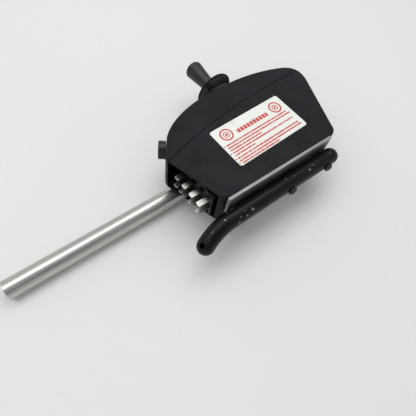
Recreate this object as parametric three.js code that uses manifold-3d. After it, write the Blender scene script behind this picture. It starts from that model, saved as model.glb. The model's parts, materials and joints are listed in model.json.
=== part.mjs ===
// Joystick controller of a powered chair, lying on its label-free side.
// Housing frame, millimetres: x runs along the housing from the connector end, y runs from the
// base plate up to the joystick, z points out of the label side. The label side is z = 0.
// The finished group is moved so that its box stands on z = 0 with its middle at the origin.
import * as THREE from 'three';
import { mergeVertices } from 'three/addons/utils/BufferGeometryUtils.js';
import Module from 'manifold-3d';

const wasm = await Module();
wasm.setup();

// Driving dimensions
const gap = 0.3;
const housing = { depth: 48, wall: 2.5, edge: 4, middle: -24 };
const plate = { start: 0, end: 144.5, thickness: 3 };
const arm = {
  radius: 9.5, z: -21.5, end: 143, hole: 3, holeDepth: 13.5, holeLean: 0.2,
  bendStart: -1.7, bendRadius: 55.2, bend: 37.2, turn: 29, tail: 1.4,
};
const tube = { radius: 10.15, wall: 1.6, y: 59.2, z: -61.1, start: -209, end: 126 };
const floorZ = tube.z - tube.radius;
const rail = { start: 34, end: 104, inner: -48.6, outer: -54 };
const pivot = { x: 92.4, y: 106 };
const stick = { shaft: 3.2, knobFoot: 144.4, knobTop: 183.5, shroudY: 139, shroud: 24 };
const dial = { x: -7.1, y: 92.9, angle: 144.5, radius: 10.1, height: 8.2, lift: 1.2 };
const blade = { width: 6.35, thickness: 1.6, tip: -24, root: 12, pitch: 12.05, first: 15.5 };
const bladeRow = { upper: -13.5, lower: -28 };
const plugWindow = { low: 6.5, high: 67, near: -1.6, far: -44.6 };
const block = { front: -9.5, back: 8, low: 10.2, high: 61.6, near: -5.2, far: -43 };
const label = { width: 100.6, height: 51.4, corner: 3, thickness: 0.3, x: 82.9, y: 49.3, turn: 2.6 };
const panel = { x: 142, y: 118.4, turn: THREE.MathUtils.degToRad(-10.5), length: 36, width: 26 };
const board = { power: 12, logic: 62, sensor: 85.4, thickness: 1.6 };
const tieScrews = [14, 134];
const tieScrewZ = -41.2;
const tieHole = 2.3;
const armScrews = [74.5, 130.5];
const armScrewHole = 3.3;
const railScrews = [50, 88];
const railScrewZ = -40.5;

// Materials
const material = (color, roughness, metalness) =>
  new THREE.MeshStandardMaterial({ color, roughness, metalness });
const blackPlastic = material(0x2d2f32, 0.6, 0);
const blackRubber = material(0x1c1d1f, 0.85, 0);
const blackPaint = material(0x17181a, 0.4, 0.3);
const aluminium = material(0xb9bab8, 0.35, 1);
const tinned = material(0xb5b1a6, 0.3, 1);
const steel = material(0x9b9c9e, 0.35, 1);
const blackSteel = material(0x202124, 0.45, 0.6);
const paper = material(0xf0f1ec, 0.5, 0);
const boardGreen = material(0x1f5b3a, 0.5, 0);
const component = material(0x26282c, 0.5, 0);
const clearLens = material(0x394048, 0.1, 0);
const greyRibbon = material(0x8a8d90, 0.6, 0);

// Closed meshes and booleans
function toSolid(geometry) {
  const bare = geometry.index ? geometry.toNonIndexed() : geometry.clone();
  bare.deleteAttribute('normal');
  bare.deleteAttribute('uv');
  const merged = mergeVertices(bare, 1e-4);
  const vertProperties = new Float32Array(merged.attributes.position.array);
  const triVerts = new Uint32Array(merged.index.array);
  return new wasm.Manifold(new wasm.Mesh({ numProp: 3, vertProperties, triVerts }));
}

function toGeometry(solid) {
  const mesh = solid.getMesh();
  const geometry = new THREE.BufferGeometry();
  geometry.setAttribute('position', new THREE.BufferAttribute(new Float32Array(mesh.vertProperties), 3));
  geometry.setIndex(new THREE.BufferAttribute(new Uint32Array(mesh.triVerts), 1));
  return geometry;
}

const cut = (base, ...tools) =>
  toGeometry(tools.reduce((solid, tool) => solid.subtract(toSolid(tool)), toSolid(base)));
const join = (...parts) => toGeometry(parts.map(toSolid).reduce((solid, part) => solid.add(part)));
const meet = (base, tool) => toGeometry(toSolid(base).intersect(toSolid(tool)));

// Simple shapes, given by their limits or by their axis
function box([x0, x1], [y0, y1], [z0, z1]) {
  const geometry = new THREE.BoxGeometry(x1 - x0, y1 - y0, z1 - z0);
  return geometry.translate((x0 + x1) / 2, (y0 + y1) / 2, (z0 + z1) / 2);
}

const alongX = (geometry) => geometry.rotateZ(-Math.PI / 2);
const alongZ = (geometry) => geometry.rotateX(Math.PI / 2);

function rodY(radius, y0, y1, x, z, sides = 20) {
  return new THREE.CylinderGeometry(radius, radius, y1 - y0, sides).translate(x, (y0 + y1) / 2, z);
}

function rodX(radius, x0, x1, y, z, sides = 24) {
  return alongX(new THREE.CylinderGeometry(radius, radius, x1 - x0, sides)).translate((x0 + x1) / 2, y, z);
}

function rodZ(radius, z0, z1, x, y, sides = 24) {
  return alongZ(new THREE.CylinderGeometry(radius, radius, z1 - z0, sides)).translate(x, y, (z0 + z1) / 2);
}

// A turned piece about an upright axis; its profile may run either way round
function turned(profile, x, z, sides = 24) {
  const points = profile.map(([radius, y]) => new THREE.Vector2(radius, y));
  if (THREE.ShapeUtils.area(points) < 0) points.reverse();
  return new THREE.LatheGeometry(points, sides).translate(x, 0, z);
}

function slab(shape, z0, z1, bevel = 0) {
  const options = {
    depth: z1 - z0 - 2 * bevel, curveSegments: 5, bevelEnabled: bevel > 0,
    bevelThickness: bevel, bevelSize: bevel, bevelOffset: -bevel, bevelSegments: 2,
  };
  return new THREE.ExtrudeGeometry(shape, options).translate(0, 0, z0 + bevel);
}

// A profile of [z, y] points run along x
function profileX(points, x0, x1) {
  const shape = new THREE.Shape(points.map(([z, y]) => new THREE.Vector2(-z, y)));
  const options = { depth: x1 - x0, bevelEnabled: false };
  return new THREE.ExtrudeGeometry(shape, options).rotateY(Math.PI / 2).translate(x0, 0, 0);
}

function roundedRectangle(width, height, radius) {
  const [w, h, r] = [width / 2, height / 2, radius];
  const shape = new THREE.Shape();
  shape.moveTo(-w + r, -h);
  shape.lineTo(w - r, -h);
  shape.absarc(w - r, -h + r, r, -Math.PI / 2, 0);
  shape.lineTo(w, h - r);
  shape.absarc(w - r, h - r, r, 0, Math.PI / 2);
  shape.lineTo(-w + r, h);
  shape.absarc(-w + r, h - r, r, Math.PI / 2, Math.PI);
  shape.lineTo(-w, -h + r);
  shape.absarc(-w + r, -h + r, r, Math.PI, 1.5 * Math.PI);
  return shape;
}

const group = new THREE.Group();

function add(name, geometry, look, parent = group) {
  const mesh = new THREE.Mesh(geometry, look);
  mesh.name = name;
  parent.add(mesh);
  return mesh;
}

// Housing outline in x and y: foot, leaning far wall, shoulder, dome, dial facet, connector end
function housingPoints() {
  const outline = new THREE.Path();
  outline.moveTo(1, 0);
  outline.lineTo(147, 0);
  outline.bezierCurveTo(154, 0.5, 158.5, 3, 160.3, 10);
  outline.lineTo(187, 79);
  outline.bezierCurveTo(191.5, 92, 189, 105, 172, 111);
  outline.bezierCurveTo(150, 119, 125, 123, 99, 123);
  outline.bezierCurveTo(60, 123.5, 14.6, 116.4, -7.2, 93.5);
  outline.lineTo(-22.8, 72.4);
  outline.quadraticCurveTo(-25.8, 68.4, -24.2, 63);
  outline.lineTo(-7, 9);
  outline.bezierCurveTo(-5, 3, -3, 0.5, 1, 0);
  const points = outline.getPoints(8);
  return points.filter((point, i) => point.distanceTo(points[(i + 1) % points.length]) > 0.01);
}

// The same outline moved inwards, each side parallel to the old one
function insetPoints(points, distance) {
  return points.map((point, i) => {
    const before = points[(i + points.length - 1) % points.length];
    const after = points[(i + 1) % points.length];
    const inward = (from, to) => new THREE.Vector2(from.y - to.y, to.x - from.x).normalize();
    const [first, second] = [inward(before, point), inward(point, after)];
    const middle = first.clone().add(second).normalize();
    return point.clone().addScaledVector(middle, distance / middle.dot(first));
  });
}

const outline = housingPoints();
const inside = insetPoints(outline, housing.wall);
const cavityZ = [-housing.depth + housing.wall, -housing.wall];

// Everything on one side of the seam between the two shells
function seamShape(side, offset) {
  const corners = [[-32, 62.6], [30, 84.3], [110, 96], [197, 95.8]].map(([x, y]) => new THREE.Vector2(x, y));
  const seam = new THREE.CubicBezierCurve(...corners);
  const points = seam.getPoints(16).map((point) => point.add(new THREE.Vector2(0, offset)));
  return new THREE.Shape([...points, new THREE.Vector2(200, side), new THREE.Vector2(-40, side)]);
}

const seamTools = {
  above: slab(seamShape(160, gap / 2), -60, 10),
  below: slab(seamShape(-20, -gap / 2), -60, 10),
};

// Dial axis, as a place on the dial facet and a direction out of it
const dialTurn = THREE.MathUtils.degToRad(dial.angle - 90);

function onDialAxis(geometry) {
  return geometry.rotateZ(dialTurn).translate(dial.x, dial.y, housing.middle);
}

// Button panel on top of the dome, beyond the joystick
function onPanel(geometry) {
  return geometry.rotateZ(panel.turn).translate(panel.x, panel.y, housing.middle);
}

function addShells() {
  const skirt = [new THREE.Vector2(1, -9), new THREE.Vector2(147, -9)];
  const skirted = new THREE.Shape([...skirt, ...outline.slice(1), outline[0]]);
  const whole = slab(skirted, -housing.depth, 0, housing.edge);
  const hollow = slab(new THREE.Shape(inside), ...cavityZ);
  const upper = meet(whole, seamTools.above);
  const lower = cut(meet(whole, seamTools.below), box([-40, 200], [-20, gap], [-60, 10]));
  const bosses = tieScrews.map((x) => rodY(4.4, 0, 104, x, tieScrewZ));

  const coverBosses = bosses.map((boss) => meet(boss, upper));
  const screwHoles = tieScrews.map((x) => rodY(tieHole, -1, 98, x, tieScrewZ, 16));
  const stickHole = rodY(17, 112, 130, pivot.x, housing.middle, 40);
  const dialHole = onDialAxis(rodY(4, -10, 6, 0, 0));
  const panelHole = onPanel(box([-panel.length / 2 - gap, panel.length / 2 + gap], [-8, 8],
    [-panel.width / 2 - gap, panel.width / 2 + gap]));
  add('upper_cover', cut(join(cut(upper, hollow), ...coverBosses),
    ...screwHoles, stickHole, dialHole, panelHole), blackPlastic);

  const mouth = box([6, 140], [-1, 12], cavityZ);
  const { low, high, near, far } = plugWindow;
  const opening = box([-45, block.back], [low, high], [far, near]);
  const lowerBosses = bosses.map((boss) => meet(boss, lower));
  const lowerShell = join(cut(lower, hollow, mouth), ...lowerBosses);
  add('lower_housing', cut(lowerShell, ...screwHoles, opening), blackPlastic);
}

function addBasePlate() {
  const armHoles = armScrews.map((x) => rodY(armScrewHole, -5, 1, x, arm.z, 16));
  const tieHoles = tieScrews.flatMap((x) => [
    rodY(tieHole, -4, 1, x, tieScrewZ, 16), rodY(4.2, -4, -plate.thickness + 2, x, tieScrewZ)]);
  const bracketHoles = railScrews.map((x) => rodY(2.3, -4, 1, x, railScrewZ, 16));
  const body = box([plate.start, plate.end], [-plate.thickness, 0], [-housing.depth, 0]);
  add('base_plate', cut(body, ...armHoles, ...tieHoles, ...bracketHoles), aluminium);
}

function addTieScrews() {
  const profile = [[0, -2.8], [3.9, -2.8], [3.9, -1.4], [2, -1.3], [2, 96], [0, 96]];
  tieScrews.forEach((x, i) => add(`tie_screw_${i + 1}`, turned(profile, x, tieScrewZ, 16), steel));
}

// Blades stand in the block in two rows, and the lower row has a pair of narrow ones
const blades = [
  ...[0, 1, 2, 3].map((i) => ({
    name: `blade_upper_${i + 1}`, y: blade.first + i * blade.pitch, z: bladeRow.upper, width: blade.width,
  })),
  { name: 'blade_lower_1', y: 15.3, z: bladeRow.lower, width: blade.width },
  { name: 'blade_lower_2', y: 27.8, z: bladeRow.lower, width: blade.width },
  { name: 'blade_narrow_1', y: 38.4, z: bladeRow.lower - 0.7, width: 4.75 },
  { name: 'blade_narrow_2', y: 44.2, z: bladeRow.lower - 0.7, width: 4.75 },
  { name: 'blade_lower_3', y: 52.2, z: bladeRow.lower, width: blade.width },
];

function bladeShape(width, thickness, tip, root) {
  const chamfer = 1.2;
  const shape = new THREE.Shape();
  shape.moveTo(root, -width / 2);
  shape.lineTo(root, width / 2);
  shape.lineTo(tip + chamfer, width / 2);
  shape.lineTo(tip, width / 2 - chamfer);
  shape.lineTo(tip, -width / 2 + chamfer);
  shape.lineTo(tip + chamfer, -width / 2);
  return slab(shape, -thickness / 2, thickness / 2);
}

function addConnector() {
  const body = box([block.front, block.back], [block.low, block.high], [block.far, block.near]);
  const pocket = box([block.front - 1, block.front + 1.6],
    [block.low + 2, block.high - 2], [block.far + 2, block.near - 2]);
  const bevel = profileX([[-3, 26], [-3, 8], [-9.4, 8], [-5.2, 24]], -15, 10);
  const slots = blades.map(({ y, z, width }) => {
    const [across, thick] = [width / 2 + gap, blade.thickness / 2 + gap];
    return box([-30, 20], [y - across, y + across], [z - thick, z + thick]);
  });
  add('connector_block', cut(body, pocket, bevel, ...slots), blackPlastic);
  blades.forEach(({ name, y, z, width }) =>
    add(name, bladeShape(width, blade.thickness, blade.tip, blade.root).translate(0, y, z), tinned));
}

function addLabel() {
  const shape = roundedRectangle(label.width, label.height, label.corner);
  const geometry = slab(shape, 0.05, 0.05 + label.thickness).rotateZ(THREE.MathUtils.degToRad(label.turn));
  add('label', geometry.translate(label.x, label.y, 0), paper);
}

// Stick: knob, shroud, shaft, gimbal ring and frame, spring and magnet
function addStick() {
  const [x, z] = [pivot.x, housing.middle];
  const top = stick.knobTop;
  const cone = [[0, stick.knobFoot], [7.4, stick.knobFoot], [7.7, stick.knobFoot + 1], [11.4, top - 3.5],
    [11.1, top - 1.4], [9.8, top - 0.4], [6, top], [0, top]];
  const shaftBore = rodY(stick.shaft + gap, 130, stick.knobFoot + 18, x, z);
  add('joystick_knob', cut(turned(cone, x, z, 28), shaftBore), blackPlastic);

  const rim = stick.shroudY;
  const hub = stick.shaft + gap;
  const dish = [[hub, rim + 5], [7, rim + 5], [14, rim + 3.8], [20, rim + 1.8], [stick.shroud, rim],
    [stick.shroud, rim - 1.2], [stick.shroud - 1.8, rim - 1.2], [19.6, rim + 0.2], [13.6, rim + 2.1],
    [7, rim + 3.2], [hub, rim + 3.2], [hub, rim + 5]];
  add('shroud', turned(dish, x, z, 28), blackRubber);

  const shaft = turned([[0, 98], [stick.shaft, 98], [stick.shaft, pivot.y - 3.5], [8.2, pivot.y - 3.5],
    [8.2, pivot.y + 3.5], [stick.shaft, pivot.y + 3.5], [stick.shaft, 161], [0, 161]], x, z);
  add('stick_shaft', join(shaft, rodZ(1.6, z - 12.8, z + 12.8, x, pivot.y, 16)), steel);
  add('stick_magnet', rodY(2.6, 94.6, 97.7, x, z, 16), steel);
  add('spring_cup', turned([[stick.shaft + gap, 117.6], [8, 117.6], [8, 119.4], [stick.shaft + gap, 119.4],
    [stick.shaft + gap, 117.6]], x, z, 24), blackPlastic);
  add('centring_spring', springCoil(x, z, 110.4, 116.8), steel);

  const ring = turned([[10, pivot.y - 3.5], [13.6, pivot.y - 3.5], [13.6, pivot.y + 3.5], [10, pivot.y + 3.5],
    [10, pivot.y - 3.5]], x, z);
  const trunnions = [rodX(2, x - 18.6, x - 13, pivot.y, z, 16), rodX(2, x + 13, x + 18.6, pivot.y, z, 16)];
  add('gimbal_ring', cut(join(ring, ...trunnions), rodZ(1.9, z - 20, z + 20, x, pivot.y, 16)), steel);

  const frame = turned([[0, 88], [19, 88], [19, 116.6], [21, 116.6], [21, 119.2], [15.6, 119.2], [15.6, 90],
    [0, 90]], x, z, 28);
  add('gimbal_frame', cut(frame, rodX(2.3, x - 25, x + 25, pivot.y, z, 16)), blackPlastic);

  const folds = [[14.6, 120.2], [16.6, 120.2], [16.6, 123.4], [21, 123.4], [21, 124.8], [18.4, 125.6],
    [19.4, 126.8], [16.9, 127.9], [17.8, 129.1], [15.6, 130.2], [14.6, 130.2], [14.6, 120.2]];
  add('boot', turned(folds, x, z, 28), blackRubber);
  const sensorTop = board.sensor + board.thickness;
  add('sensor_board', box([x - 16, x + 16], [board.sensor, sensorTop], [z - 14, z + 14]), boardGreen);
}

function springCoil(x, z, y0, y1) {
  const [turns, radius, wire] = [4, 5.6, 0.6];
  class Helix extends THREE.Curve {
    getPoint(t) {
      const angle = 2 * Math.PI * turns * t;
      return new THREE.Vector3(radius * Math.cos(angle), y0 + (y1 - y0) * t, radius * Math.sin(angle));
    }
  }
  const section = new THREE.Shape();
  section.absarc(0, 0, wire, 0, 2 * Math.PI);
  const options = { steps: 10 * turns, extrudePath: new Helix(), curveSegments: 3, bevelEnabled: false };
  return new THREE.ExtrudeGeometry(section, options).translate(x, 0, z);
}

function addDial() {
  const base = dial.lift;
  const top = base + dial.height;
  const { radius } = dial;
  const profile = [[0, base], [radius, base], [radius, top - 1.6], [radius - 0.5, top - 0.5],
    [radius - 1.7, top], [radius - 3, top - 0.5], [0, top]];
  const knob = turned(profile, 0, 0, 28);
  const recesses = [rodY(6.4, base - 1, base + 2.4, 0, 0), rodY(1.9, base - 1, top - 2, 0, 0, 16)];
  add('speed_dial', onDialAxis(cut(knob, ...recesses)), blackPlastic);
  add('dial_shaft', onDialAxis(rodY(1.6, -9, top - 2.3, 0, 0, 16)), steel);
  add('dial_nut', onDialAxis(cut(rodY(5.9, 0.9, 2.8, 0, 0, 6), rodY(3.8, 0, 4, 0, 0))), steel);
  add('dial_potentiometer', onDialAxis(cut(join(rodY(8, -15, -6, 0, 0), rodY(3.5, -7, 2.2, 0, 0)),
    rodY(1.9, -9.3, 5, 0, 0, 16))), component);
}

function addButtons() {
  const [length, width] = [panel.length / 2, panel.width / 2];
  const face = box([-length, length], [-1.6, 1.2], [-width, width]);
  const flange = box([-length - 2.5, length + 2.5], [-6, -4.4], [-width - 2, width + 2]);
  const neck = box([-length, length], [-4.5, -1.5], [-width, width]);
  const spots = { power_button: -10.5, horn_button: 10.5 };
  const holes = Object.values(spots).map((x) => rodY(5, -10, 5, x, 4.5));
  const lensHole = box([-9, 9], [-10, 5], [-9.4, -4.2]);
  add('button_panel', onPanel(cut(join(face, neck, flange), ...holes, lensHole)), blackPlastic);
  add('gauge_lens', onPanel(box([-8.7, 8.7], [-5.8, 1], [-9.1, -4.5])), clearLens);
  const cap = [[0, -8], [6, -8], [6, -6.6], [4.6, -6.6], [4.6, 2.4], [3.8, 3], [0, 3.2]];
  Object.entries(spots).forEach(([name, x]) => {
    add(name, onPanel(turned(cap, x, 4.5, 24)), name === 'power_button' ? blackPlastic : blackRubber);
    add(`${name}_switch`, onPanel(box([x - 3, x + 3], [-11.7, -9.8], [1.5, 7.5])), component);
  });
  add('button_board', onPanel(box([-17, 17], [-13.6, -12], [-12, 12])), boardGreen);
}

function addElectronics() {
  const { power, logic, thickness } = board;
  const top = power + thickness + gap;
  add('power_board', box([20, 128], [power, power + thickness], [-43, -9.6]), boardGreen);
  [25, 123].forEach((x, i) => add(`standoff_${i + 1}`, rodY(2.5, gap, power - gap, x, -38, 12), steel));
  [40, 61].forEach((x, i) => add(`capacitor_${i + 1}`, rodY(9, top, 48, x, -30), component));
  [74, 96].forEach((x, i) => add(`relay_${i + 1}`, box([x, x + 18], [top, 32], [-41, -25]), component));
  add('heat_spreader', box([30, 118], [gap, 30], [-8.6, -5.4]), aluminium);
  [34, 56, 78, 100].forEach((x, i) =>
    add(`transistor_${i + 1}`, box([x, x + 14], [top, 31], [-13.4, -8.9]), component));
  add('logic_board', box([20, 140], [logic, logic + thickness], [-36, -6]), boardGreen);
  add('ribbon_cable', ribbon(), greyRibbon);
}

// Flat cable from the logic board up to the sensor board, 12 mm wide
function ribbon() {
  const route = [[50, 64.6], [56, 66], [60, 74], [66, 82.6], [72, 84.3], [84, 84.6]];
  const path = new THREE.SplineCurve(route.map(([x, y]) => new THREE.Vector2(x, y)));
  const points = path.getPoints(18);
  const normals = points.map((point, i) => {
    const [from, to] = [points[Math.max(i - 1, 0)], points[Math.min(i + 1, points.length - 1)]];
    return new THREE.Vector2(from.y - to.y, to.x - from.x).normalize().multiplyScalar(0.4);
  });
  const left = points.map((point, i) => point.clone().add(normals[i]));
  const right = points.map((point, i) => point.clone().sub(normals[i])).reverse();
  return slab(new THREE.Shape([...left, ...right]), housing.middle - 6, housing.middle + 6);
}

// Bent arm: a round bar that leaves the plate, bends down and ends in a round end with a blind hole
function armPath() {
  const y = -plate.thickness - arm.radius - gap;
  const turn = THREE.MathUtils.degToRad(arm.turn);
  const bend = THREE.MathUtils.degToRad(arm.bend);
  const along = new THREE.Vector3(-1, 0, 0);
  const aside = new THREE.Vector3(0, -Math.sin(turn), -Math.cos(turn));
  const start = new THREE.Vector3(arm.bendStart, y, arm.z);
  const points = [new THREE.Vector3(arm.end, y, arm.z)];
  for (let i = 0; i <= 6; i += 1) {
    const angle = (bend * i) / 6;
    points.push(start.clone().addScaledVector(along, arm.bendRadius * Math.sin(angle))
      .addScaledVector(aside, arm.bendRadius * (1 - Math.cos(angle))));
  }
  const direction = along.clone().multiplyScalar(Math.cos(bend)).addScaledVector(aside, Math.sin(bend));
  points.push(points.at(-1).clone().addScaledVector(direction, arm.tail));
  return { points, direction };
}

function addArm() {
  const { points, direction } = armPath();
  const bar = sweptRound(points, arm.radius, 20);
  const ends = [points[0], points.at(-1)].map((point) =>
    new THREE.SphereGeometry(arm.radius * 0.995, 20, 10).translate(point.x, point.y, point.z));
  const up = new THREE.Vector3(0, arm.holeLean, 1);
  const holeAxis = up.addScaledVector(direction, -up.dot(direction)).normalize();
  const tip = points.at(-1);
  const turnToHole = new THREE.Quaternion().setFromUnitVectors(new THREE.Vector3(0, 1, 0), holeAxis);
  const eye = rodY(arm.hole, arm.radius - arm.holeDepth, 2 * arm.radius, 0, 0);
  eye.applyQuaternion(turnToHole).translate(tip.x, tip.y, tip.z);
  const screwHoles = armScrews.map((x) => rodY(armScrewHole, -30, 0, x, arm.z, 16));
  add('support_arm', cut(join(bar, ...ends), eye, ...screwHoles), blackPaint);
  const under = -plate.thickness - 2 * arm.radius - 2 * gap;
  const screw = [[0, under - 3.2], [2.6, under - 3.1], [4.4, under - 2.2], [5.2, under - 0.4], [5.2, under],
    [3, under], [3, -1.1], [0, -1.1]];
  armScrews.forEach((x, i) => add(`arm_screw_${i + 1}`, turned(screw, x, arm.z, 20), blackSteel));
}

// A round bar through a list of points, each ring square to the bar
function sweptRound(points, radius, sides) {
  const rings = points.map((point, i) => {
    const [before, after] = [points[Math.max(i - 1, 0)], points[Math.min(i + 1, points.length - 1)]];
    const tangent = after.clone().sub(before).normalize();
    const side = new THREE.Vector3(0, 1, 0).addScaledVector(tangent, -tangent.y).normalize();
    const other = tangent.clone().cross(side);
    return Array.from({ length: sides }, (_, k) => {
      const angle = (2 * Math.PI * k) / sides;
      const [across, around] = [radius * Math.cos(angle), radius * Math.sin(angle)];
      return point.clone().addScaledVector(side, across).addScaledVector(other, around);
    });
  });
  const vertices = [...rings.flat(), points[0], points.at(-1)];
  const index = [];
  for (let i = 0; i < rings.length - 1; i += 1) {
    for (let k = 0; k < sides; k += 1) {
      const [a, b] = [i * sides + k, i * sides + ((k + 1) % sides)];
      index.push(a, b, b + sides, a, b + sides, a + sides);
    }
  }
  const [first, last] = [vertices.length - 2, vertices.length - 1];
  const lastRing = (rings.length - 1) * sides;
  for (let k = 0; k < sides; k += 1) {
    const next = (k + 1) % sides;
    index.push(first, next, k, last, lastRing + k, lastRing + next);
  }
  const geometry = new THREE.BufferGeometry().setFromPoints(vertices);
  geometry.setIndex(index);
  return geometry;
}

// Side rail on the far side: an extrusion that hangs on the plate, stands on its foot and grips the tube
function addRail() {
  const { inner, outer } = rail;
  const foot = floorZ;
  const section = [[-33.8, -3.3], [-33.8, -6.3], [foot, -6.3], [foot, 8], [outer, 8],
    [outer, 45.5], [foot, 45.5], [foot, 80], [inner, 80], [inner, -3.3]];
  const body = profileX(section, rail.start, rail.end);
  const bore = rodX(tube.radius + 0.25, rail.start - 5, rail.end + 5, tube.y, tube.z, 32);
  const plateHoles = railScrews.map((x) => rodY(2.3, -10, 0, x, railScrewZ, 16));
  const clampHoles = railScrews.map((x) => rodY(3.3, tube.y, 85, x, tube.z, 16));
  add('side_rail', cut(body, bore, ...plateHoles, ...clampHoles), aluminium);

  const railScrew = [[0, -9], [3.4, -8.8], [3.8, -6.6], [2, -6.6], [2, -0.4], [0, -0.4]];
  const tip = tube.y + tube.radius + gap;
  const clampScrew = [[0, tip], [2.2, tip], [3, tip + 1], [3, 79.6], [1.6, 79.6], [1.6, 76.6], [0, 76.6]];
  railScrews.forEach((x, i) => {
    add(`rail_screw_${i + 1}`, turned(railScrew, x, railScrewZ, 16), steel);
    add(`clamp_screw_${i + 1}`, turned(clampScrew, x, tube.z, 12), blackSteel);
  });
}

function addTube() {
  const outer = rodX(tube.radius, tube.start, tube.end, tube.y, tube.z, 32);
  const bore = rodX(tube.radius - tube.wall, tube.start - 5, tube.end + 5, tube.y, tube.z, 32);
  add('mount_tube', cut(outer, bore), aluminium);
}

addShells();
addBasePlate();
addTieScrews();
addConnector();
addLabel();
addStick();
addDial();
addButtons();
addElectronics();
addArm();
addRail();
addTube();

const bounds = new THREE.Box3().setFromObject(group);
const middle = bounds.getCenter(new THREE.Vector3());
group.position.set(-middle.x, -middle.y, -bounds.min.z);

export default group;
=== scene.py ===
"""Joystick controller of a powered chair: the looks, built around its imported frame."""

import json
import math

import bmesh
import bpy
from mathutils import Matrix, Vector


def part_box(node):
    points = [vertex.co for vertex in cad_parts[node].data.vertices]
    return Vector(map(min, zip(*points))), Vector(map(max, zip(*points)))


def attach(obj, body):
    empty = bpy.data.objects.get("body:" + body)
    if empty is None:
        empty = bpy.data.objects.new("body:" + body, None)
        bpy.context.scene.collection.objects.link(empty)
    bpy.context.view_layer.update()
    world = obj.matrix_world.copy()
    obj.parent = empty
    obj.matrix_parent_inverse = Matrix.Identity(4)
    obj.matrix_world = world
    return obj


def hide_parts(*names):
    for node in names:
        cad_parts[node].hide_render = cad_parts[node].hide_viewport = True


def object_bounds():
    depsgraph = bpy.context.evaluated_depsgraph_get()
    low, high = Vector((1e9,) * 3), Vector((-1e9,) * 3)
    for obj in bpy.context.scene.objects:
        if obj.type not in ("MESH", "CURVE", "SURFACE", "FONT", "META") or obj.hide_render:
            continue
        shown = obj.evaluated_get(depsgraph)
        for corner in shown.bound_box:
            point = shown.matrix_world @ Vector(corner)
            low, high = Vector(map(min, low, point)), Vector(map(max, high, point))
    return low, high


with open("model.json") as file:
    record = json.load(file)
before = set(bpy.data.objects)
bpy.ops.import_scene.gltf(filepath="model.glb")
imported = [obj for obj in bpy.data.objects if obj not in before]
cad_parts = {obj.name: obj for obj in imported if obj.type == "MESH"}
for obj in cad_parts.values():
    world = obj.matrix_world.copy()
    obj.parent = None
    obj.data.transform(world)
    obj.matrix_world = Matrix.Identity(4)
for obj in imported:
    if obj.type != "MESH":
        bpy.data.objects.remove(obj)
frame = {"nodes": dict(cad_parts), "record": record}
CAD_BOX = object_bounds()

# Housing frame in millimetres: x runs from the connector end, y from the base plate up to the
# joystick, z out of the label side. The base plate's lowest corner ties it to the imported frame.
MM = 0.001
PLATE_CORNER = Vector((0.0, -3.0, -48.0))
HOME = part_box("base_plate")[0] - PLATE_CORNER * MM
DEPTH = 48.0
MIDDLE = -DEPTH / 2
WALL = 2.5
EDGE = 4.0
SEAM_GAP = 0.7
SHARP_CORNER = math.radians(40)

BODY_OF = {node: body for body, nodes in frame["record"]["behaviour"]["bodies"].items() for node in nodes}
SLOT_OF = {part["node"]: part["material_slot"] for part in frame["record"]["subparts"]}

UP = Vector((0, 1, 0))
ALONG_X = Matrix(((0, 0, 1, 0), (0, 1, 0, 0), (-1, 0, 0, 0), (0, 0, 0, 1)))

ARM_SCREWS = ("arm_screw_1", "arm_screw_2")
RAIL_SCREWS = ("rail_screw_1", "rail_screw_2")
CLAMP_SCREWS = ("clamp_screw_1", "clamp_screw_2")
BLADES = sorted(name for name in frame["nodes"] if name.startswith("blade_"))
LABEL_TURN = math.radians(2.6)


def at(x, y, z):
    """A point in housing millimetres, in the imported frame."""
    return HOME + Vector((x, y, z)) * MM


def span(node):
    """Lowest and highest corner of a CAD node, in housing millimetres."""
    low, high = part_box(node)
    return (low - HOME) / MM, (high - HOME) / MM


def centre_of(node):
    """The middle of a CAD node, in housing millimetres."""
    low, high = span(node)
    return (low + high) / 2


# ---------------------------------------------------------------- shapes

def solid(points, faces):
    """A closed mesh with its faces pointing out, in housing millimetres."""
    mesh = bpy.data.meshes.new("solid")
    mesh.from_pydata([tuple(point) for point in points], [], faces)
    shape = bmesh.new()
    shape.from_mesh(mesh)
    bmesh.ops.recalc_face_normals(shape, faces=shape.faces)
    shape.to_mesh(mesh)
    shape.free()
    piece = bpy.data.objects.new("solid", mesh)
    bpy.context.scene.collection.objects.link(piece)
    return piece


def rings_skin(rings, closed=False):
    """Faces between rings of point numbers; a ring may be one point repeated."""
    pairs = list(zip(rings, rings[1:]))
    if closed:
        pairs.append((rings[-1], rings[0]))
    faces = []
    for near, far in pairs:
        for k in range(len(near)):
            after = (k + 1) % len(near)
            face = list(dict.fromkeys([near[k], near[after], far[after], far[k]]))
            if len(face) > 2:
                faces.append(tuple(face))
    return faces


def prism(outline, low, high, place=Matrix.Identity(4)):
    """An outline of (x, y) points run from low to high along z."""
    count = len(outline)
    points = [place @ Vector((x, y, z)) for z in (low, high) for x, y in outline]
    rings = [list(range(count)), list(range(count, 2 * count))]
    return solid(points, [tuple(rings[0]), tuple(rings[1]), *rings_skin(rings)])


def box(low, high, place=Matrix.Identity(4)):
    outline = [(low[0], low[1]), (high[0], low[1]), (high[0], high[1]), (low[0], high[1])]
    return prism(outline, low[2], high[2], place)


def turned(profile, place, sides=96):
    """A turned piece: (radius, height) points about the z axis of a place."""
    points, rings = [], []
    on_axis = 1e-6
    for radius, height in profile:
        if radius < on_axis:
            rings.append([len(points)] * sides)
            points.append(place @ Vector((0, 0, height)))
            continue
        rings.append(list(range(len(points), len(points) + sides)))
        for k in range(sides):
            angle = 2 * math.pi * k / sides
            points.append(place @ Vector((radius * math.cos(angle), radius * math.sin(angle), height)))
    return solid(points, rings_skin(rings, closed=profile[0][0] > on_axis))


def rod(radius, low, high, place, sides=64):
    return turned([(0, low), (radius, low), (radius, high), (0, high)], place, sides)


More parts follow.
